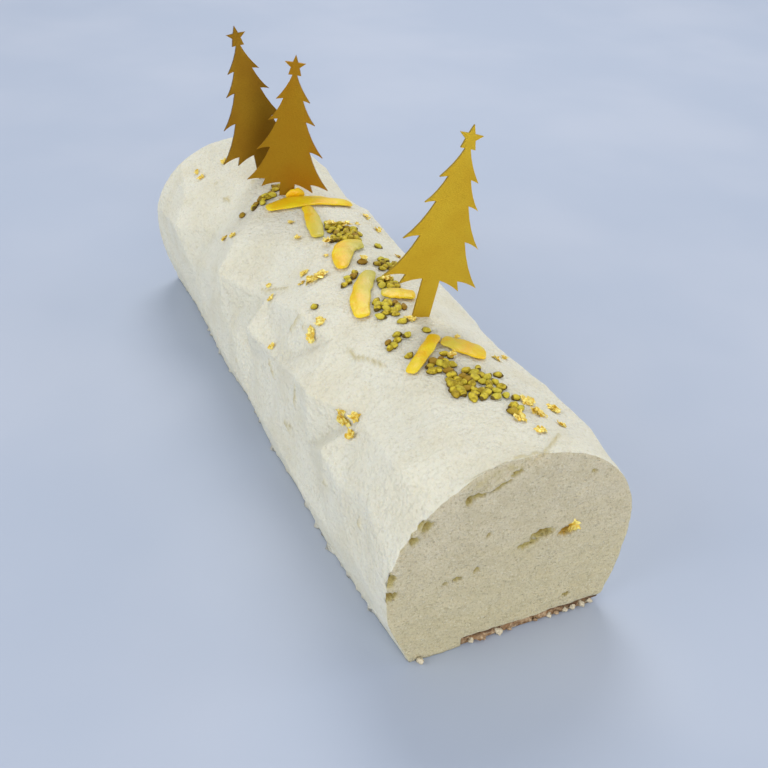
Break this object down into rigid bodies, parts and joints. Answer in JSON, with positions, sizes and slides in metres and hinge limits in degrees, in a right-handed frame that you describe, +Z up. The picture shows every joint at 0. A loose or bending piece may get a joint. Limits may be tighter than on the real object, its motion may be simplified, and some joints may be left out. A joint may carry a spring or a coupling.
{
  "type": "yule log cake",
  "caption": "Moulded white mousse yule log with low faceted sides, cut at one end, on a thin biscuit base, topped with card trees, candied peel, chopped nuts and gold leaf.",
  "frame": {"origin": "under the middle of the log, on the surface it stands on", "axes": "+Z up, Y along the log with the cut end at -Y, X across"},
  "size_m": [0.0892, 0.2712, 0.1357],
  "materials": {
    "mousse": "matt, fine sprayed velvet grain",
    "biscuit": "dry, crumbly",
    "gold_card": "metallic gold, finely fibrous",
    "candied_peel": "moist, translucent"
  },
  "bodies": {
    "root": {"mousse_log": "mousse", "biscuit_base": "biscuit", "tree_topper_front": "gold_card", "tree_topper_rear_left": "gold_card", "tree_topper_rear_right": "gold_card", "peel_rear_bar": "candied_peel", "peel_rear_stem": "candied_peel", "peel_rear_nub": "candied_peel", "peel_comma": "candied_peel", "peel_crescent": "candied_peel", "peel_by_trunk": "candied_peel", "peel_front_long": "candied_peel", "peel_front_short": "candied_peel"}
  },
  "joints": []
}
